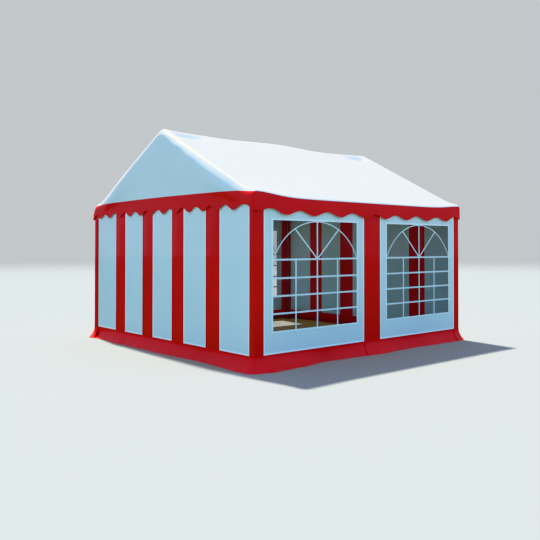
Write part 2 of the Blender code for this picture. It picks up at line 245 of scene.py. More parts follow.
def zinc():
    """Hot-dip zinc: patches of lighter and darker grey a few centimetres across, over a fine grain."""
    finish, tree, shader = principled("galvanised_steel")
    place = tree.nodes.new("ShaderNodeTexCoord").outputs["Object"]
    spangle = tree.nodes.new("ShaderNodeTexVoronoi")
    spangle.inputs["Scale"].default_value = 70.0
    tree.links.new(place, spangle.inputs["Vector"])
    cloud = spread(tree, noise(tree, place, scale=14.0))
    tone = blend_colors(tree, cloud, first=(0.44, 0.45, 0.47, 1), second=(0.62, 0.63, 0.65, 1))
    cells = spangle.outputs["Distance"]
    color = blend_colors(tree, cells, first=tone, second=(0.66, 0.67, 0.68, 1))
    tree.links.new(color, shader.inputs["Base Color"])
    rough = spread(tree, noise(tree, place, scale=40.0), low=0.34, high=0.52)
    tree.links.new(rough, shader.inputs["Roughness"])
    shader.inputs["Metallic"].default_value = 0.9
    grain = bump(tree, noise(tree, place, scale=300.0), distance=0.0002)
    tree.links.new(grain, shader.inputs["Normal"])
    return finish


steel = zinc()
soft_slots = ("red_pvc", "white_pvc", "clear_film")
slot_of = {row["node"]: row["material_slot"] for row in frame["record"]["subparts"]}
for node, made in frame["nodes"].items():
    if slot_of.get(node) not in soft_slots:
        made.data.materials.clear()
        made.data.materials.append(steel)


# Wing screws: one in each sleeve of the fittings, turned by hand to grip the tube inside it. Each is a
# zinc-plated hub with two flat wings, on a side of the sleeve that faces into the tent.
POST = frame["record"]["mounts"][2]["pos_m"][0]
SLOPE = 0.5
TUBE_R, SLEEVE_R = 0.019, 0.0215
RAIL_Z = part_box("front_left_eave_rail")[1].z - TUBE_R
LOW_RAIL_Z = RAIL_Z - 2 * SLEEVE_R
RIDGE_TUBE_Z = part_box("left_ridge_tube")[1].z - TUBE_R
APEX_Z = RAIL_Z + POST * SLOPE
SCREW_AT, SCREW_DOWN, SCREW_SINK = 0.075, 0.090, 0.001
HUB = ((0.0, 0.0085), (0.003, 0.0085), (0.004, 0.0060), (0.013, 0.0050), (0.0145, 0.0030))
WING = ((0.003, 0.007, 0.0035), (0.009, 0.009, 0.0045), (0.015, 0.013, 0.0050), (0.019, 0.016, 0.0035),
        (0.021, 0.018, 0.0012))
WING_T, HUB_SIDES, STEEP = 0.0022, 12, 0.9


def axes_of(normal):
    """Two directions square to a normal and to each other."""
    side = np.cross(normal, (0.0, 0.0, 1.0) if abs(normal[2]) < STEEP else (1.0, 0.0, 0.0))
    side /= np.linalg.norm(side)
    return side, np.cross(normal, side)


def tube_rings(rings):
    """Rings of points (n, m, 3) as a closed tube: the quads round it, and rows of quads across its first
    and last ring."""
    count, around = rings.shape[:2]
    number = np.arange(count * around).reshape(count, around)
    turned = np.roll(number, -1, axis=1)
    sides = np.stack([number[:-1], turned[:-1], turned[1:], number[1:]], axis=2).reshape(-1, 4)
    half = around // 2
    last, first = number[-1], number[0][::-1]
    caps = [[end[i], end[i + 1], end[around - 2 - i], end[around - 1 - i]] for end in (last, first)
            for i in range(half - 1)]
    return rings.reshape(-1, 3), np.concatenate([sides, caps])


def turned(seat, side, over, normal, profile, sides):
    """A solid turned about its normal, from the height and radius of each ring."""
    angle = np.linspace(0, 2 * math.pi, sides, endpoint=False)[:, None]
    circle = np.cos(angle) * side + np.sin(angle) * over
    return tube_rings(np.array([seat + height * normal + radius * circle for height, radius in profile]))


def wing_screw(seat, normal):
    """One screw: the hub up the normal, and for each wing four-sided rings out along the side."""
    side, over = axes_of(normal)
    parts = [turned(seat, side, over, normal, HUB, HUB_SIDES)]
    for way in (-1, 1):
        rings = []
        for out, height, half in WING:
            middle = seat + way * out * side + height * normal
            corners = ((-half, -WING_T / 2), (half, -WING_T / 2), (half, WING_T / 2), (-half, WING_T / 2))
            rings.append([middle + a * normal + way * b * over for a, b in corners])
        parts.append(tube_rings(np.array(rings)))
    return parts


def screw_seats():
    """Where each screw sits on its sleeve, and which way it points."""
    tilt = math.atan(SLOPE)
    seats = []
    for x in (-POST, 0.0, POST):
        inward = np.array([-1.0 if x > 0 else 1.0, 0.0, 0.0])
        down = np.array([0.0, 0.0, -1.0])
        ways = (-1, 1) if x == 0 else (-np.sign(x),)
        for way in ways:
            seats.append(((x + way * SCREW_AT, 0.0, RIDGE_TUBE_Z), down))
        for side in (-1, 1):
            y = side * POST
            along = np.array([0.0, -side * math.cos(tilt), math.sin(tilt)])
            seats.append(((x, y, RAIL_Z - SCREW_DOWN), np.array([0.0, -side, 0.0])))
            seats.append((np.array([x, y, RAIL_Z]) + SCREW_AT * along, inward))
            seats.append((np.array([x, 0.0, APEX_Z]) - SCREW_AT * along, inward))
            seats += [((x + way * SCREW_AT, y, RAIL_Z), down) for way in ways]
            if x != 0:
                seats.append(((x, y - side * SCREW_AT, LOW_RAIL_Z), down))
    return [(np.array(place) + (SLEEVE_R - SCREW_SINK) * normal, normal) for place, normal in seats]


def joined(parts):
    """The points and quads of many parts as one mesh."""
    starts = np.cumsum([0] + [len(points) for points, quads in parts])
    return (np.concatenate([points for points, quads in parts]),
            np.concatenate([quads + start for (points, quads), start in zip(parts, starts)]))


def steel_piece(name, parts):
    """Many small steel parts as one piece."""
    made = new_mesh(name, *joined(parts))
    made.data.materials.append(steel)
    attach(made, "root")


steel_piece("wing_screws", [part for seat in screw_seats() for part in wing_screw(*seat)])


# Peg heads: two steel pegs through each foot plate, driven home so that only their domes show.
PLATE_TOP, PEG_SINK = 0.005, 0.0005
PEG_INSET = 0.042
PEG_DOME, PEG_SIDES = ((0.0, 0.0125), (0.0025, 0.0125), (0.0055, 0.0095), (0.007, 0.0040)), 16
peg_places = [(x + way * PEG_INSET, y + way * PEG_INSET, PLATE_TOP - PEG_SINK)
              for x in (-POST, 0.0, POST) for y in (-POST, POST) for way in (-1, 1)]
steel_piece("peg_heads", [turned(place, *np.eye(3), PEG_DOME, PEG_SIDES) for place in peg_places])


# The cover's own shape. It is cut to lie tight over the frame: two slopes with a rounded ridge, which
# sag a little between the trusses, ride up over the gable rafters and stand proud over corner fittings.
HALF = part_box("left_valance")[1].y
EAVE = 1.991
RIDGE = 2.987
RIDGE_ROUND = 0.035
SAGS = {-1: 0.022, 1: 0.032}
GABLE_LIFT, LIFT_REACH = 0.003, 0.12
SLACK_EDGE, SLACK_AT, SLACK_LENGTH, SLACK_REACH = 0.030, 1.12, 0.82, 0.25
CORNER_LIFTS = {(-1, -1): 0.060, (1, -1): 0.040, (-1, 1): 0.056, (1, 1): 0.050}
CORNER_REACH = (0.42, 0.14)
DIP, DIP_IN, DIP_DOWN, DIP_WIDTH, DIP_EDGE = 0.110, 0.26, 0.13, (0.24, 0.075), 0.10
ROLL_START = POST - 0.015
FLATTEN = 0.65
UPRIGHT = 1.955
LEAN = 0.0175
SETTLE = (0.085, 0.185)
BULGE, BULGE_ROOM, BACK_LEAST = 0.028, (0.10, 0.45), 0.12
RIPPLE, RIPPLE_TURN, RIPPLE_PHASE, RIPPLE_AT, RIPPLE_REACH = 0.25, 19, 1.0, -0.40, 0.35
MOST_SETTLE, MOST_ARC = 0.65, 0.95
PLAN_ROUND = 0.03
CLOTH = 0.0012


def hump(distance, reach):
    """A smooth hill, 1 at no distance and falling away over reach."""
    return np.exp(-((distance / reach) ** 2))


def eased(share):
    """A share held between 0 and 1 and eased at both ends, 3s^2 - 2s^3."""
    share = np.clip(share, 0, 1)
    return share * share * (3 - 2 * share)


def slope_height(x, y):
    """Height of the roof cloth: EAVE to RIDGE up a slope whose ridge is rounded as a hyperbola, less a
    sine-squared sag in each bay, plus hills over the gable rafters, the corner fittings and the slack
    edge at the back left, less a dip beside each apex that fades out at the gable rafter."""
    down = np.hypot(y, RIDGE_ROUND) - RIDGE_ROUND
    up = 1.0 - down / (math.hypot(HALF, RIDGE_ROUND) - RIDGE_ROUND)
    sag = np.where(x < 0, SAGS[-1], SAGS[1]) * np.sin(np.pi * np.clip(np.abs(x) / POST, 0, 1)) ** 2
    height = EAVE + (RIDGE - EAVE) * up - sag * np.clip(up, 0, 1)
    height = height + GABLE_LIFT * hump(HALF - np.abs(x), LIFT_REACH) * up
    height = height + SLACK_EDGE * hump(x + HALF, SLACK_REACH) * hump(y - SLACK_AT, SLACK_LENGTH)
    for (way, side), lift in CORNER_LIFTS.items():
        along, across = CORNER_REACH
        height = height + lift * hump(x - way * HALF, along) * hump(y - side * HALF, across)
    apex = hump(POST - np.abs(x) - DIP_IN, DIP_WIDTH[0]) * hump(np.abs(y) - DIP_DOWN, DIP_WIDTH[1])
    return height - DIP * apex * (1 - hump(POST - np.abs(x), DIP_EDGE))


def gable_reach(y, top, drop):
    """How far out the gable cloth is at a drop below the slope's edge, whose height is top: first along
    an arc over the rafter, radius * sqrt(1 - (1 - drop / height)^2), and from where that leans as it does
    along a cubic, lean * (1 - (1 - past)^3), that ends upright. There the cloth stands out past the
    valance, and it comes back to it by the eave. A short cloth squeezes all three."""
    room = top - UPRIGHT
    ripple = 1 + RIPPLE * np.sin(RIPPLE_TURN * y + RIPPLE_PHASE) * hump(y - RIPPLE_AT, RIPPLE_REACH)
    settle = (SETTLE[0] + (SETTLE[1] - SETTLE[0]) * np.abs(y) / HALF) * ripple
    settle = np.minimum(settle, MOST_SETTLE * room)
    proud = BULGE * np.clip((room - BULGE_ROOM[0]) / (BULGE_ROOM[1] - BULGE_ROOM[0]), 0, 1)
    lean = LEAN + proud
    turn = np.arctan(FLATTEN * 3 * lean / settle)
    radius = (HALF - ROLL_START - LEAN) / np.cos(turn)
    height = np.minimum(FLATTEN * radius, MOST_ARC * (room - settle) / (1 - np.sin(turn)))
    arc_end = height * (1 - np.sin(turn))
    arc = radius * np.sqrt(1 - (1 - np.clip(drop, 0, arc_end) / height) ** 2)
    past = np.clip((drop - arc_end) / settle, 0, 1)
    back = eased((drop - arc_end - settle) / np.maximum(room - arc_end - settle, BACK_LEAST))
    return ROLL_START + arc + lean * (1 - (1 - past) ** 3) - proud * back


def round_corners(points):
    """Round the square plan's corners: within PLAN_ROUND of a corner, offsets a and b from the corner's
    inner square become a * sqrt(1 - b^2 / 2r^2) and b * sqrt(1 - a^2 / 2r^2), a quarter disc."""
    plan = points[..., :2]
    past = np.clip(np.abs(plan) - (HALF - PLAN_ROUND), 0, None)
    kept = np.sqrt(np.clip(1 - past[..., ::-1] ** 2 / (2 * PLAN_ROUND**2), 0, 1))
    moved = points.copy()
    moved[..., :2] = plan - np.sign(plan) * past * (1 - kept)
    return moved


# The roof cover: one white sheet of coated PVC cloth, from the valance's weld on one gable, over the
# rafters and slopes, to the weld on the other. Its long edges turn down over the eave rails.
EAVE_ROLL, EAVE_ROWS = 0.022, 5
EAVE_TURN = math.radians(68)
SLOPE_TURN = math.atan((RIDGE - EAVE) / HALF)
GABLE_WELD = 2.052
GABLE_WELD_RISE = 0.024
CORNER_DROP = 0.003
CORNER_WELD_FALL, CORNER_WELD_REACH = 0.014, 0.20
ROW_STEP = 0.026
SLOPE_COLUMNS, COLUMN_CROWD = 97, 0.10
GABLE_COLUMNS = 27


def roof_rows():
    """The rows across the roof, as their places along Y and how far each has dropped round the eave."""
    last = HALF - EAVE_ROLL * (1 - math.sin(SLOPE_TURN))
    flat = np.linspace(ROW_STEP, last, int(last / ROW_STEP))
    turn = np.linspace(SLOPE_TURN, EAVE_TURN, EAVE_ROWS)[1:]
    edge = last + EAVE_ROLL * (np.sin(turn) - math.sin(SLOPE_TURN))
    fall = EAVE_ROLL * (math.cos(SLOPE_TURN) - np.cos(turn))
    out = np.concatenate([[0.0, ROW_STEP / 2], flat, edge])
    drop = np.concatenate([np.zeros(len(out) - len(fall)), fall])
    return np.concatenate([-out[::-1], out[1:]]), np.concatenate([drop[::-1], drop[1:]])


def weld_drop(y, top):
    """How far below the rolled edge's start the gable's weld lies. It climbs onto the roll at the eaves."""
    line = GABLE_WELD + GABLE_WELD_RISE * (1 - (y / HALF) ** 2)
    line = line - CORNER_WELD_FALL * hump(HALF - np.abs(y), CORNER_WELD_REACH)
    return np.maximum(top - line, CORNER_DROP)


def roof_grid():
    """The cover's points: in each row, the slope between the two rolls, and on each gable the rolled
    edge and the gable cloth down to the weld, closer together near where the cloth turns."""
    y, eave_drop = roof_rows()
    across = y[:, None]
    share = np.linspace(-1, 1, SLOPE_COLUMNS)
    x = (ROLL_START * (share + COLUMN_CROWD * np.sin(np.pi * share)))[None, :] + 0 * across
    inner = np.stack([x, across + 0 * x, slope_height(x, across) - eave_drop[:, None]], 2)
    sides = []
    for way in (-1, 1):
        top = (slope_height(way * ROLL_START, y) - eave_drop)[:, None]
        drop = weld_drop(y, top[:, 0])[:, None] * np.linspace(0, 1, GABLE_COLUMNS)[None, 1:] ** 2
        sides.append(np.stack([way * gable_reach(across, top, drop), across + 0 * drop, top - drop], 2))
    return np.concatenate([sides[0][:, ::-1], inner, sides[1]], axis=1)


def path_lengths(points):
    """Metres along each row of a grid, and up each column, as the cloth's own flat coordinates."""
    along = np.diff(points, axis=1, prepend=points[:, :1])
    up = np.diff(points, axis=0, prepend=points[:1])
    u = np.cumsum(np.linalg.norm(along, axis=2), axis=1)
    v = np.cumsum(np.linalg.norm(up, axis=2), axis=0)
    return np.stack([u - u[:, -1:] / 2, v - v[-1:] / 2], axis=2)


def grid_normals(points):
    """Unit normals of a grid, the cross product of its run along the rows and its rise up the columns."""
    normal = np.cross(np.gradient(points, axis=1), np.gradient(points, axis=0))
    return normal / np.linalg.norm(normal, axis=2)[..., None]


def closed_quads(quads, count):
    """The quads of a sheet's outer face, then those of its inner face, whose points come count later,
    and those of the rims along its open edges."""
    edges = np.stack([quads, np.roll(quads, -1, axis=1)], axis=2).reshape(-1, 2)
    first, uses = np.unique(np.sort(edges, axis=1), axis=0, return_index=True, return_counts=True)[1:]
    a, b = edges[first[uses == 1]].T
    rims = np.stack([b, a, a + count, b + count], axis=1)
    return np.concatenate([quads, quads[:, ::-1] + count, rims])


def cloth(name, grids, finish, thickness=CLOTH, keep=None, inwards=False, welds=None):
    """Sheets of one cloth as one piece. Each grid of points is an outer face, and the inner face lies a
    thickness behind it. inwards says that the rows' run and rise make the grid face the tent's middle,
    and welds holds a grid for each sheet that is 1 where it is welded to another."""
    parts, uvs, marks = [], [], []
    for number, grid in enumerate(grids):
        outer = grid.reshape(-1, 3)
        normal = grid_normals(grid).reshape(-1, 3) * (-1 if inwards else 1)
        quads = grid_quads(grid.shape[0], grid.shape[1], keep)
        quads = closed_quads(quads[:, ::-1] if inwards else quads, len(outer))
        flat = path_lengths(grid).reshape(-1, 2)
        weld = np.zeros(len(outer)) if welds is None else welds[number].ravel()
        parts.append((np.concatenate([outer, outer - thickness * normal]), quads))
        uvs.append(np.concatenate([flat, flat])[quads])
        marks.append(np.concatenate([weld, weld]))
    made = new_mesh(name, *joined(parts), np.concatenate(uvs), np.concatenate(marks))
    made.data.materials.append(finish)
    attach(made, "root")
    return made


WEAVE_PITCH, WEAVE_DEPTH = 0.0025, 0.00002
CLOUDS, DULL_PATCHES, SPLASHES, RIPPLES = 1.7, 6.0, 22.0, 3.0
RIPPLE_DEPTH, ROUGH_SPREAD, SOIL_HEIGHT, MOST_SOIL = 0.004, 0.04, 0.10, 0.12


def maths(tree, operation, *values):
    """One step of arithmetic on outputs or plain numbers."""
    made = tree.nodes.new("ShaderNodeMath")
    made.operation = operation
    for value, socket in zip(values, made.inputs):
        feed(tree, value, socket)
    return made.outputs[0]


def weave_group():
    """The scrim's weave pressed through the coating: crossed ribs at an even pitch along the UV map."""
    group = bpy.data.node_groups.new("weave", "ShaderNodeTree")
    group.interface.new_socket("Pitch", in_out="INPUT", socket_type="NodeSocketFloat")
    group.interface.new_socket("Height", in_out="OUTPUT", socket_type="NodeSocketFloat")
    given, result = group.nodes.new("NodeGroupInput"), group.nodes.new("NodeGroupOutput")
    place = group.nodes.new("ShaderNodeUVMap")
    place.uv_map = "cloth"
    split = group.nodes.new("ShaderNodeSeparateXYZ")
    group.links.new(place.outputs["UV"], split.inputs[0])
    waves = []
    for axis in ("X", "Y"):
        turns = maths(group, "DIVIDE", split.outputs[axis], given.outputs["Pitch"])
        waves.append(maths(group, "SINE", maths(group, "MULTIPLY", turns, 2 * math.pi)))
    group.links.new(maths(group, "ADD", *waves), result.inputs["Height"])
    return group


weave = weave_group()


def pvc(name, dark, light, pressed, roughness, soil):
    """Coated PVC cloth: an even colour that clouds a little over half a metre and is paler where a weld
    has pressed it, a woven grain, soft ripples, a glossy lacquer, and splashed soil that thins out over
    the first hand's breadth."""
    finish, tree, shader = principled(name)
    place = tree.nodes.new("ShaderNodeTexCoord").outputs["Object"]
    cloud = spread(tree, noise(tree, place, CLOUDS))
    base = blend_colors(tree, cloud, dark, light)
    weld = tree.nodes.new("ShaderNodeAttribute")
    weld.attribute_name = "weld"
    base = blend_colors(tree, weld.outputs["Fac"], base, pressed)
    height = tree.nodes.new("ShaderNodeSeparateXYZ")
    tree.links.new(place, height.inputs[0])
    low = spread(tree, height.outputs["Z"], low=1.0, high=0.0, start=0.0, end=SOIL_HEIGHT)
    dirt = spread(tree, noise(tree, place, SPLASHES, detail=6.0), high=MOST_SOIL)
    splash = maths(tree, "MULTIPLY", low, dirt)
    tree.links.new(blend_colors(tree, splash, base, soil), shader.inputs["Base Color"])
    patches = noise(tree, place, DULL_PATCHES)
    rough = spread(tree, patches, roughness - ROUGH_SPREAD, roughness + ROUGH_SPREAD)
    tree.links.new(rough, shader.inputs["Roughness"])
    shader.inputs["Specular IOR Level"].default_value = 0.35
    shader.inputs["Coat Weight"].default_value = 0.6
    shader.inputs["Coat Roughness"].default_value = 0.03
    ribs = tree.nodes.new("ShaderNodeGroup")
    ribs.node_tree = weave
    ribs.inputs["Pitch"].default_value = WEAVE_PITCH
    fine = bump(tree, ribs.outputs["Height"], WEAVE_DEPTH)
    ripple = noise(tree, place, RIPPLES, detail=1.0)
    tree.links.new(bump(tree, ripple, RIPPLE_DEPTH, fine), shader.inputs["Normal"])
    return finish


white_pvc = pvc("white_pvc", dark=(0.75, 0.785, 0.835, 1), light=(0.79, 0.82, 0.865, 1),
                pressed=(0.96, 0.98, 0.99, 1), roughness=0.36, soil=(0.46, 0.42, 0.34, 1))
red_pvc = pvc("red_pvc", dark=(0.82, 0.012, 0.006, 1), light=(0.90, 0.014, 0.008, 1),
              pressed=(0.94, 0.020, 0.012, 1), roughness=0.34, soil=(0.36, 0.12, 0.08, 1))

cover_points = roof_grid()
roof_cover = cloth("roof_cover", [round_corners(cover_points)], white_pvc)
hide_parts("front_roof_slope", "back_roof_slope", "left_gable_cloth", "right_gable_cloth")


# The valance: one red strip welded on all round the cover's lower edge. It hangs free of the walls,
# its lower edge is cut in waves with a folded hem, and it kicks out a little at most corners.
FRONT_LOWS = (-1.971, -1.520, -1.073, -0.619, -0.154, 0.242, 0.690, 1.154, 1.620, 1.997)
GABLE_LOWS = np.concatenate([[-2.036], np.linspace(-1.615, 1.812, 12), [2.030]])
FRONT_HEM, GABLE_HEM = 1.808, 1.876
FRONT_SCALLOP, GABLE_SCALLOP = 0.029, 0.033
FRONT_ROUND, GABLE_ROUND = 1.9, 1.55
CORNER_HEM_RISE, CORNER_HEM_REACH = 0.030, 0.30
NEAR_HEM_FALL, FAR_HEM_FALL, HEM_FALL_REACH, HEM_MEET = 0.013, 0.009, 0.5, 0.05
HEM, HEM_PROUD, HEM_STEP = 0.012, 0.0012, 0.0015
KICKS, KICK_REACH = {(-1, -1): 0.010, (1, -1): -0.010, (-1, 1): 0.006, (1, 1): 0.020}, 0.20
SWAY, SWAY_X, SWAY_Y = 0.003, (7.3, 0.6), (6.1, -0.4)
VALANCE_ROWS, ROW_CROWD, ROLL_END = 19, 1.3, 0.02
PULL, PULL_REACH = 0.060, (0.30, 0.07)
HEM_OUT = {"gable": 0.003, "long": 0.012}


def wave(along, lows, roundness):
    """A wave from -1 at each low point to 1 halfway between: 2 * |sin|^roundness - 1."""
    turns = np.interp(along, lows, np.arange(len(lows)))
    return 2 * np.abs(np.sin(np.pi * turns)) ** roundness - 1


def ring(grid):
    """The values round a grid's outline, from the front left corner by the right, the back and the left."""
    return np.concatenate([grid[0, :-1], grid[:-1, -1], grid[-1, :0:-1], grid[::-1, 0]])


def hem_height(x, y, on_gable):
    """The lower edge's height round the tent: short waves on the gables, which fall a little towards the
    corners, and long ones on the window walls, which lift. The two meet halfway at the corner."""
    long_wave = FRONT_HEM + FRONT_SCALLOP * wave(x, FRONT_LOWS, FRONT_ROUND)
    long_wave = long_wave + CORNER_HEM_RISE * hump(HALF - np.abs(x), CORNER_HEM_REACH)
    short_wave = GABLE_HEM + GABLE_SCALLOP * wave(y, GABLE_LOWS, GABLE_ROUND)
    short_wave = short_wave - NEAR_HEM_FALL * hump(HALF + y, HEM_FALL_REACH)
    short_wave = short_wave - FAR_HEM_FALL * hump(HALF - y, HEM_FALL_REACH)
    corner = 0.5 * hump(np.hypot(HALF - np.abs(x), HALF - np.abs(y)), HEM_MEET)
    return short_wave + (long_wave - short_wave) * np.where(on_gable, corner, 1 - corner)


def valance_grid():
    """The strip's points: each column starts on the cover's edge, goes on along the roll where the cover
    left it, and then hangs to the hem, kicked out as depth * (2 - depth). At the back left corner the
    cloth is drawn back in the same way. The eave's roll ends as 1 - (1 - depth / roll)^3, and a column
    near a corner is stretched as the corner's own column is."""
    x, y, weld = ring(cover_points).T
    corners = np.abs(cover_points[::len(cover_points) - 1, ::cover_points.shape[1] - 1])
    corner_x, corner_y, corner_weld = corners[(y > 0).astype(int), (x > 0).astype(int)].T
    left_top, right_top = cover_points[:, GABLE_COLUMNS - 1, 2], cover_points[:, -GABLE_COLUMNS, 2]
    top = ring(np.where(cover_points[..., 0] < 0, left_top[:, None], right_top[:, None]))
    lengths = cover_points.shape[1] - 1, len(cover_points) - 1
    on_gable = np.repeat([False, True, False, True, True], [*lengths, *lengths, 1])
    full_x = np.where(on_gable, np.sign(x) * HALF, x * HALF / corner_x)
    full_y = np.where(on_gable, y * HALF / corner_y, np.sign(y) * HALF)
    depth_total = weld - hem_height(full_x, full_y, on_gable)
    kick = np.where(on_gable, HEM_OUT["gable"], HEM_OUT["long"]) + sum(
        lift * hump(np.hypot(full_x - way * HALF, full_y - side * HALF), KICK_REACH)
        for (way, side), lift in KICKS.items()
    )
    sway = SWAY * np.sin(full_x * SWAY_X[0] + SWAY_X[1]) * np.cos(full_y * SWAY_Y[0] + SWAY_Y[1])
    pull = PULL * hump(full_x + HALF, PULL_REACH[0]) * hump(full_y - HALF, PULL_REACH[1])
    outline = round_corners(np.stack([full_x, full_y], 1))
    run = np.roll(outline[:-1], -1, axis=0) - np.roll(outline[:-1], 1, axis=0)
    run = np.concatenate([run, run[:1]])
    out = np.stack([run[:, 1], -run[:, 0]], 1) / np.linalg.norm(run, axis=1)[:, None]
    hem_share = 1 - HEM / depth_total
    shares = [share * hem_share for share in np.linspace(0, 1, VALANCE_ROWS) ** ROW_CROWD]
    rows = []
    for share in shares + [hem_share + HEM_STEP, (hem_share + 1) / 2, np.ones(len(x))]:
        depth = share * depth_total
        across = corner_y + (HALF - corner_y) * (1 - (1 - np.clip(depth / ROLL_END, 0, 1)) ** 3)
        corner_reach = gable_reach(corner_y, corner_weld + CORNER_DROP, CORNER_DROP + depth)
        reach = gable_reach(y, top, top - weld + depth)
        x_now = np.where(on_gable, np.sign(x) * reach, x / corner_x * corner_reach)
        y_now = np.where(on_gable, y / corner_y * across, np.sign(y) * across)
        point = round_corners(np.stack([x_now, y_now, weld - depth], 1))
        proud = np.where(share > hem_share, HEM_PROUD, 0.0)
        point[:, :2] += out * (kick * share * (2 - share) + sway * share**2 + proud)[:, None]
        point[:, 1] += pull * share * (2 - share)
        rows.append(point)
    return np.array(rows[::-1])


valance = cloth("valance", [valance_grid()], red_pvc)
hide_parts("front_valance", "back_valance", "left_valance", "right_valance")


# The skirt: the red cloth along the foot of all four walls. It hangs straight from the panels' lower
# edge, then sweeps out in a hollow curve over the ground, further at some places than at others.
WALL = -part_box("front_left_window_panel")[0].y
FOOT_UP = 0.012
PANEL_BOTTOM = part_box("front_left_window_panel")[0].z + FOOT_UP
WALL_ROUND = 0.030
CORNER_RUN = WALL - WALL_ROUND + WALL_ROUND * math.pi / 4
TUCK = 0.006
SKIRT_FOOT, SKIRT_HEAD = 0.0015, 0.012
SKIRT_ROWS, SKIRT_COLUMN, LEAST_COLUMNS = 19, 0.017, 13
SKIRT_OUT = {
    "front": ((-2.0, 0.118), (-1.8, 0.150), (-1.4, 0.120), (-0.9, 0.035), (-0.5, 0.055), (-0.16, 0.085),
              (0.1, 0.108), (0.8, 0.055), (1.4, 0.078), (1.8, 0.085), (2.0, 0.085)),
    "left": ((-2.0, 0.118), (-1.8, 0.117), (-1.5, 0.098), (-1.1, 0.056), (-0.66, 0.064), (-0.1, 0.092),
             (0.6, 0.087), (1.3, 0.087), (1.66, 0.068), (2.0, 0.052)),
    "back": ((-2.0, 0.052), (-1.5, 0.09), (-0.9, 0.06), (-0.2, 0.10), (0.5, 0.065), (1.1, 0.095),
             (1.6, 0.075), (2.0, 0.085)),
    "right": ((-2.0, 0.085), (-1.4, 0.09), (-0.8, 0.07), (0.0, 0.10), (0.7, 0.06), (1.4, 0.09),
              (2.0, 0.085)),
}
SKIRT_OUT_END = 2.0
SKIRT_SEAMS = {"front": (-0.153, 1.835), "back": (-1.835, 0.153), "left": (1.903,), "right": (-1.903,)}
SKIRT_LAP, SEAM_SWING, SEAM_PROUD = 0.05, -0.008, 0.003
SEAM_CURL, CURL_REACH, CURL_LEAST, HANG = 0.011, 0.025, 0.35, 0.02
RUFFLES, RUFFLE_END = ((0.005, 21, 1.3), (0.003, 47, 0.4)), 0.08
FLARE_CURVE = 2.0
CORNER_LAP, CORNER_LAP_START, CORNER_LAP_RAMP = 0.0012, 1.91, 0.02
WRAP_PAST = 0.045
WRAP_RUN = WALL - WALL_ROUND + WALL_ROUND * math.pi / 2 + WRAP_PAST
FLAP, FLAP_FOOT, FLAP_START, FLAP_EASE, FLAP_HOME = 0.036, 0.034, -1.87, 0.10, 0.75
LATE_FLARE, LATE_REACH = {"left": 0.070}, 0.15
# The skirts get their own copy of the red cloth, brighter than the bands' red. That extra brightness is
# painted light: it stands in for the sky light that the upturned skirts catch.
skirt_red_painted_light = pvc("skirt_red_painted_light", dark=(0.96, 0.010, 0.006, 1), light=(1.0, 0.012, 0.008, 1),
                pressed=(1.0, 0.020, 0.012, 1), roughness=0.34, soil=(0.36, 0.12, 0.08, 1))
FLARE_TOP = {"front": 0.166, "back": 0.166, "left": 0.168, "right": 0.168}
WALL_AXES = {"front": (1, -1), "back": (1, 1), "left": (0, -1), "right": (0, 1)}


def smooth_through(places, values, at):
    """A curve through values at places, eased between each two."""
    index = np.clip(np.searchsorted(places, at) - 1, 0, len(places) - 2)
    t = eased((at - places[index]) / (places[index + 1] - places[index]))
    return values[index] + (values[index + 1] - values[index]) * t


def wall_points(side, along, proud, z):
    """Points of a wall whose plan is a straight run that turns a quarter circle at each end, and then
    runs on along the next wall: along is the way along it from its middle, proud how far it stands out
    from the wall's face, and z the height."""
    axis, way = WALL_AXES[side]
    along, proud, z = np.broadcast_arrays(along, proud, z)
    straight = WALL - WALL_ROUND
    past = np.clip(np.abs(along) - straight, 0, None)
    turn = np.clip(past / WALL_ROUND, 0, np.pi / 2)
    beside = np.sign(along) * (np.minimum(np.abs(along), straight) + (WALL_ROUND + proud) * np.sin(turn))
    out = way * (straight + (WALL_ROUND + proud) * np.cos(turn) - (past - WALL_ROUND * turn))
    return np.stack([beside, out, z] if axis == 1 else [out, beside, z], axis=2)


def turns_in(side):
    """Whether a grid whose rows run along +X or +Y and rise faces inwards on this wall."""
    return side in ("back", "left")


def wall_ends(side):
    """Where a wall's cloth stops at its two ends: the gables' at the middle of the corner's turn, the long
    walls' tucked a little past it, and the back wall's at the left wrapped on round it as a flap."""
    if WALL_AXES[side][0] == 0:
        return CORNER_RUN, CORNER_RUN
    return (WRAP_RUN if side == "back" else CORNER_RUN + TUCK), CORNER_RUN + TUCK


def flap_proud(side, along, foot):
    """How far the flap stands off the corner: it eases off the wall, is furthest out at the turn, more so
    towards its foot, and comes back to the gable at its free edge."""
    if side != "back":
        return 0.0
    off = np.clip((FLAP_START - along) / FLAP_EASE, 0, 1) ** 2
    home = np.clip((-along - CORNER_RUN) / (WRAP_RUN - CORNER_RUN), 0, 1)
    return (FLAP + FLAP_FOOT * foot) * off * (1 - FLAP_HOME * home)


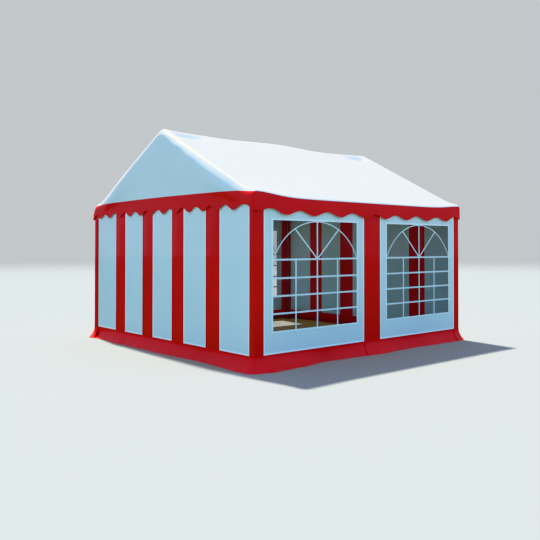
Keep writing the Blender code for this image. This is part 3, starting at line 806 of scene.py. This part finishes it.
def skirt(side):
    """One wall's skirt in lengths that overlap at the seams: out from the wall by
    reach * (1 - z / top)^2, with a ruffle that grows towards the ground. A length's free edge swings
    along as the cloth flares, and curls up a little off the length under it. A wall in LATE_FLARE flares
    from lower down at its end towards +Y."""
    places, values = np.array(SKIRT_OUT[side]).T
    on_gable = WALL_AXES[side][0] == 0
    left, right = wall_ends(side)
    marks = (-left,) + SKIRT_SEAMS[side] + (right,)
    z = np.linspace(SKIRT_FOOT, PANEL_BOTTOM + SKIRT_HEAD, SKIRT_ROWS)[:, None]
    lengths = []
    for first, last in zip(marks[:-1], marks[1:]):
        count = max(LEAST_COLUMNS, int((last - first) / SKIRT_COLUMN))
        t = np.linspace(0, 1, count)[None, :]
        fall = np.clip(1 - z / FLARE_TOP[side], 0, 1) ** FLARE_CURVE
        start = first + (SEAM_SWING * fall if first > -left else 0)
        stop = last + (SEAM_SWING * fall + SKIRT_LAP if last < right else 0)
        along = start + (stop - start) * t
        share = np.clip(along / CORNER_RUN, -1, 1)
        flare_top = FLARE_TOP[side] - LATE_FLARE.get(side, 0.0) * hump(1 - share, LATE_REACH)
        fall = np.clip(1 - z / flare_top, 0, 1) ** FLARE_CURVE
        ruffle = sum(size * np.sin(share * turns + phase) for size, turns, phase in RUFFLES)
        ruffle = ruffle * np.clip((1 - np.abs(share)) / RUFFLE_END, 0, 1)
        reach = smooth_through(places, values, share * SKIRT_OUT_END) + ruffle
        under = SEAM_PROUD * np.clip((along - last) / SKIRT_LAP + 1, 0, 1) if last < right else 0
        lift = np.clip((PANEL_BOTTOM - z) / HANG, 0, 1) * (CURL_LEAST + (1 - CURL_LEAST) * fall)
        curl = SEAM_CURL * lift * hump(along - start, CURL_REACH) if first > -left else 0
        lap = CORNER_LAP * np.clip((np.abs(along) - CORNER_LAP_START) / CORNER_LAP_RAMP, 0, 1)
        proud = reach * fall - under + curl + lap * on_gable + flap_proud(side, along, fall)
        lengths.append(wall_points(side, along, proud, z))
    return lengths


for side in WALL_AXES:
    made = cloth(f"{side}_skirt", skirt(side), skirt_red_painted_light, inwards=turns_in(side))
    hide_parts(f"{side}_wall_red")


# The wall bands: red strips that hang from the eave to the skirt, between the white panels and at
# the corners. On the gables they are slack and belly out into soft half pipes.
WALL_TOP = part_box("front_left_window_panel")[1].z
BAND_EDGES = {
    "front": (-0.153, 0.153),
    "left": (-1.326, -1.033, -0.532, -0.246, 0.246, 0.532, 1.033, 1.326),
}
CORNER_EDGE = {"front": 1.835, "left": 1.903}
BELLY = {"front": 0.004, "left": 0.012}
CORNER_BELLY = {"right": 0.014}
LAP, GABLE_LAP, BAND_SUNK = 0.010, 0.0014, 0.0016
BAND_TUCK, BAND_COLUMNS, BAND_ROWS = 0.02, 15, 60
HEAD_FLAT, HEAD_EASE, FOOT_EASE = 0.05, 0.25, 0.30
FLAP_HEAD_FLAT, FLAP_HEAD_EASE = 0.04, 0.12


def band(side, first, last, belly, lap=0.0):
    """One band: a grid between two edges that bellies out as sin^2 across, fading at its head and foot. A
    corner band whose wall has a flap stands off the corner with it, but for its head."""
    t = np.linspace(0, 1, BAND_COLUMNS)[None, :]
    z = np.linspace(PANEL_BOTTOM - BAND_TUCK, WALL_TOP, BAND_ROWS)[:, None]
    fade = eased((WALL_TOP - HEAD_FLAT - z) / HEAD_EASE) * eased((z - PANEL_BOTTOM) / FOOT_EASE)
    along = first + (last - first) * t
    flap = flap_proud(side, along, 0.0) * np.clip((WALL_TOP - FLAP_HEAD_FLAT - z) / FLAP_HEAD_EASE, 0, 1)
    return wall_points(side, along, belly * np.sin(np.pi * t) ** 2 * fade - BAND_SUNK + lap + flap, z)


for side in WALL_AXES:
    on_gable = WALL_AXES[side][0] == 0
    like = "left" if on_gable else "front"
    inner = np.array(BAND_EDGES[like]).reshape(-1, 2)
    strips = [band(side, a - LAP, b + LAP, BELLY[like]) for a, b in inner]
    edge, (left, right) = CORNER_EDGE[like] - LAP, wall_ends(side)
    lap = GABLE_LAP if on_gable else 0.0
    belly = CORNER_BELLY.get(side, 0.0)
    strips += [band(side, -left, -edge, belly, lap), band(side, edge, right, belly, lap)]
    made = cloth(f"{side}_bands", strips, red_pvc, inwards=turns_in(side))
    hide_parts(f"{side}_wall_red")


# The gables' white strips, welded edge over edge onto the red bands, so they stand a cloth's
# thickness proud of them, and hang from the gable rail behind the valance.
MARGIN = 0.020
MARGIN_STEP = 0.0009
RAMP = 0.003
SEAT = 0.0003
STRIP_SLACK, STRIP_COLUMNS, STRIP_ROWS = 0.003, 25, 60


def margin_share(distance):
    """1 within a weld's margin and 0 past it, with a short ramp between the two."""
    return np.clip((MARGIN - distance) / RAMP + 0.5, 0, 1)


def with_margins(steps, *edges):
    """Steps across a cloth, with four more for each pair of edges: the ramps a margin inside them."""
    for first, last in edges:
        low, high = first + MARGIN, last - MARGIN
        ramps = [low - RAMP / 2, low + RAMP / 2, high - RAMP / 2, high + RAMP / 2]
        steps = np.union1d(steps, ramps)
    return steps


def flat_strip(side, first, last):
    """One strip: a grid between two edges, with a faint slack ripple across the wall and a welded margin
    at its two sides and its foot, and how much of a weld each point is."""
    height = (PANEL_BOTTOM, WALL_TOP)
    along = with_margins(np.linspace(first, last, STRIP_COLUMNS), (first, last))[None, :]
    z = with_margins(np.linspace(*height, STRIP_ROWS), height)[:, None]
    slack = np.sin(np.pi * (along - first) / (last - first)) ** 2
    slack = slack * np.sin(np.pi * (z - PANEL_BOTTOM) / (WALL_TOP - PANEL_BOTTOM))
    weld = margin_share(np.minimum(np.minimum(along - first, last - along), z - PANEL_BOTTOM))
    return wall_points(side, along, SEAT + STRIP_SLACK * slack + MARGIN_STEP * weld, z), weld


for side in ("left", "right"):
    edges = np.array((-CORNER_EDGE["left"],) + BAND_EDGES["left"] + (CORNER_EDGE["left"],)).reshape(-1, 2)
    strips, welds = zip(*(flat_strip(side, a, b) for a, b in edges))
    made = cloth(f"{side}_white_strips", strips, white_pvc, inwards=turns_in(side), welds=welds)
    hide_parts(f"{side}_wall_white")


# The window panels: white cloth with a rectangular window cut out, welded onto the red wall. The clear
# film is welded on behind with an overlap all round.
BAY = 1.0
PANEL_HALF = 0.842
PANEL_SLACK, PANEL_COLUMNS, PANEL_ROWS = 0.002, 69, 75
WINDOW = (0.703, 0.435, 1.719)
FILM_LAP, FILM_T, FILM_EASE = 0.015, 0.0006, 0.12
FILM_COLUMNS, FILM_ROWS = 49, 45
FILM_RIPPLES = ((0.0012, 5.1, 3.7, 0.0), (0.0008, -4.0, 9.7, 1.0))


def panel_slack(u, z):
    """How slack the cloth hangs: sin up the panel times cos across it, 1 in its middle and 0 at its rim."""
    up = (z - PANEL_BOTTOM) / (WALL_TOP - PANEL_BOTTOM)
    return np.sin(np.pi * up) * np.cos(np.pi * u / 2 / PANEL_HALF)


def panel(side, center):
    """The panel as a grid over the bay, a mask that leaves out the window's cells, and how much of a weld
    each point is: there is a margin round the panel and round the window."""
    half, sill, lintel = WINDOW
    along = np.union1d(np.linspace(-PANEL_HALF, PANEL_HALF, PANEL_COLUMNS), (-half, half))
    along = with_margins(along, (-PANEL_HALF, PANEL_HALF), (-half - 2 * MARGIN, half + 2 * MARGIN))
    z = np.union1d(np.linspace(PANEL_BOTTOM, WALL_TOP, PANEL_ROWS), (sill, lintel))
    z = with_margins(z, (PANEL_BOTTOM, WALL_TOP), (sill - 2 * MARGIN, lintel + 2 * MARGIN))
    middle_u, middle_z = (along[1:] + along[:-1]) / 2, (z[1:] + z[:-1]) / 2
    in_window = (np.abs(middle_u) < half)[None, :] & ((middle_z > sill) & (middle_z < lintel))[:, None]
    along, z = np.meshgrid(along, z)
    slack = panel_slack(along, z)
    rim = np.minimum(PANEL_HALF - np.abs(along), z - PANEL_BOTTOM)
    opening = np.maximum(np.abs(along) - half, np.maximum(sill - z, z - lintel))
    weld = np.maximum(margin_share(rim), margin_share(opening))
    points = wall_points(side, center + along, SEAT + PANEL_SLACK * slack + MARGIN_STEP * weld, z)
    return points, ~in_window, weld


def film_proud(u, z):
    """How far the film's face stands out from the wall's: just behind the panel, with shallow ripples."""
    half, sill, lintel = WINDOW
    inside = np.clip((half - np.abs(u)) / FILM_EASE, 0, 1)
    inside = inside * np.clip(np.minimum(z - sill, lintel - z) / FILM_EASE, 0, 1)
    ripple = sum(size * np.sin(a * u + b * z + phase) for size, a, b, phase in FILM_RIPPLES)
    return -CLOTH + PANEL_SLACK * panel_slack(u, z) + inside * ripple


def film_finish():
    """Clear window film: nearly see-through, slightly blue, glossy, with faint waves from the roll."""
    finish, tree, shader = principled("clear_film")
    place = tree.nodes.new("ShaderNodeTexCoord").outputs["Object"]
    shader.inputs["Roughness"].default_value = 0.06
    shader.inputs["Alpha"].default_value = 0.10
    shader.inputs["Coat Weight"].default_value = 1.0
    shader.inputs["Coat Roughness"].default_value = 0.03
    haze = spread(tree, noise(tree, place, scale=2.5))
    color = blend_colors(tree, haze, first=(0.03, 0.045, 0.045, 1), second=(0.05, 0.07, 0.07, 1))
    tree.links.new(color, shader.inputs["Base Color"])
    waves = bump(tree, noise(tree, place, scale=9.0, detail=1.0), distance=0.002)
    tree.links.new(waves, shader.inputs["Normal"])
    return finish


clear_film = film_finish()


# The window bars: white strips welded on the film. A transom and three rails under it, an upright
# through the middle and one under each half, and an arch with two spokes.
TRANSOM = 1.26
RAILS = (1.045, 0.838, 0.634)
SIDE_BAR = 0.3515
ARCH_RADIUS, ARCH_DOWN = 0.774, 0.004
SPOKE_END = (0.36, 1.62)
BAR, SPOKE_BAR, ARCH_BAR = 0.021, 0.017, 0.013
BAR_T = 0.0008
ARCH_STEPS, BAR_STEPS, SPOKE_STEPS = 65, 33, 21


def strip_along(side, center, path, width, layer):
    """A flat bar carried along a path in the window's plane: at each point a cross-section of four
    corners, width wide and BAR_T thick."""
    run = np.gradient(path, axis=0)
    run /= np.linalg.norm(run, axis=1)[:, None]
    across = np.stack([-run[:, 1], run[:, 0]], 1) * width / 2
    face = film_proud(path[:, 0], path[:, 1]) + layer * BAR_T
    corners = []
    for sign, lift in ((-1, 0.0), (-1, 1.0), (1, 1.0), (1, 0.0)):
        u, z = (path + sign * across).T
        corners.append(wall_points(side, center + u[None], (face + lift * BAR_T)[None], z)[0])
    return tube_rings(np.array(corners).transpose(1, 0, 2))


def window_bars(side, center):
    """All the bars of one window, each layer a strip's thickness over the one before."""
    half, sill, lintel = WINDOW
    arch_center = lintel - ARCH_DOWN - ARCH_RADIUS
    turn = math.acos(half / ARCH_RADIUS)
    angle = np.linspace(math.pi - turn, turn, ARCH_STEPS)
    arch = np.stack([ARCH_RADIUS * np.cos(angle), arch_center + ARCH_RADIUS * np.sin(angle)], 1)
    uprights = ((-SIDE_BAR, TRANSOM), (SIDE_BAR, TRANSOM), (0.0, lintel))
    bars = [(np.linspace((-half, z), (half, z), BAR_STEPS), BAR, 0) for z in (TRANSOM,) + RAILS]
    bars += [(np.linspace((u, sill), (u, top), BAR_STEPS), BAR, 1) for u, top in uprights]
    bars.append((arch, ARCH_BAR, 2))
    for way in (-1, 1):
        end = (way * SPOKE_END[0], SPOKE_END[1])
        bars.append((np.linspace((0.0, TRANSOM), end, SPOKE_STEPS), SPOKE_BAR, 3))
    return joined([strip_along(side, center, *bar) for bar in bars])


half, sill, lintel = WINDOW
for side in ("front", "back"):
    for place, center in (("left", -BAY), ("right", BAY)):
        points, keep, weld = panel(side, center)
        made = cloth(f"{side}_{place}_window_cloth", [points], white_pvc, keep=keep, inwards=turns_in(side),
                     welds=[weld])
        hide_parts(f"{side}_{place}_window_panel")

        u = np.linspace(-half - FILM_LAP, half + FILM_LAP, FILM_COLUMNS)[None, :]
        z = np.linspace(sill - FILM_LAP, lintel + FILM_LAP, FILM_ROWS)[:, None]
        film_points = wall_points(side, center + u, film_proud(u, z), z)
        film = cloth(f"{side}_{place}_film", [film_points], clear_film, FILM_T, inwards=turns_in(side))
        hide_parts(f"{side}_{place}_window_film")

        bar_points, bar_quads = window_bars(side, center)
        if turns_in(side):
            bar_quads = bar_quads[:, ::-1]
        bar_uv = bar_points[bar_quads][..., [0, 2]]
        bars = new_mesh(f"{side}_{place}_window_bars", bar_points, bar_quads, bar_uv)
        bars.data.materials.append(white_pvc)
        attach(bars, "root")
